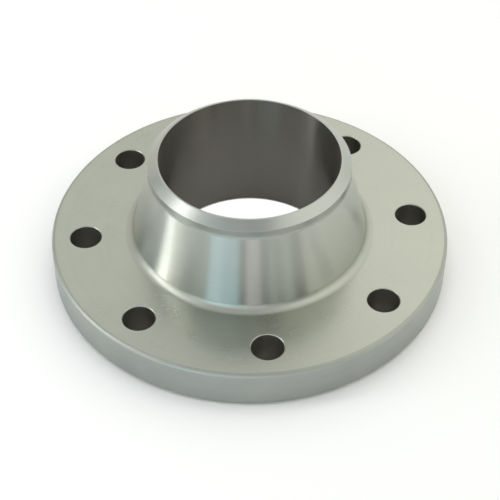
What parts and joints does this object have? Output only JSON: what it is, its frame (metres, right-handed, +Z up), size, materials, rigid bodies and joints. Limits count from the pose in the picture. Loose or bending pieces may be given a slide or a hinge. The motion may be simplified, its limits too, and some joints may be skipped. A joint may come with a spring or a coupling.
{
  "type": "weld neck flange",
  "caption": "Round pipe flange with a tapered hub that ends in a weld bevel, a straight bore, a raised gasket face and a ring of bolt holes.",
  "frame": {"origin": "centre of the raised gasket face, on the bore axis", "axes": "+Z up the bore axis from the gasket face to the weld end; +X and +Y midway between bolt holes"},
  "size_m": [0.23, 0.23, 0.0766],
  "materials": {
    "machined_steel": "lathe-turned satin steel, a little warm and greenish, brighter along the weld bevel and the edges"
  },
  "bodies": {
    "root": {"flange_forging": "machined_steel"}
  },
  "joints": []
}
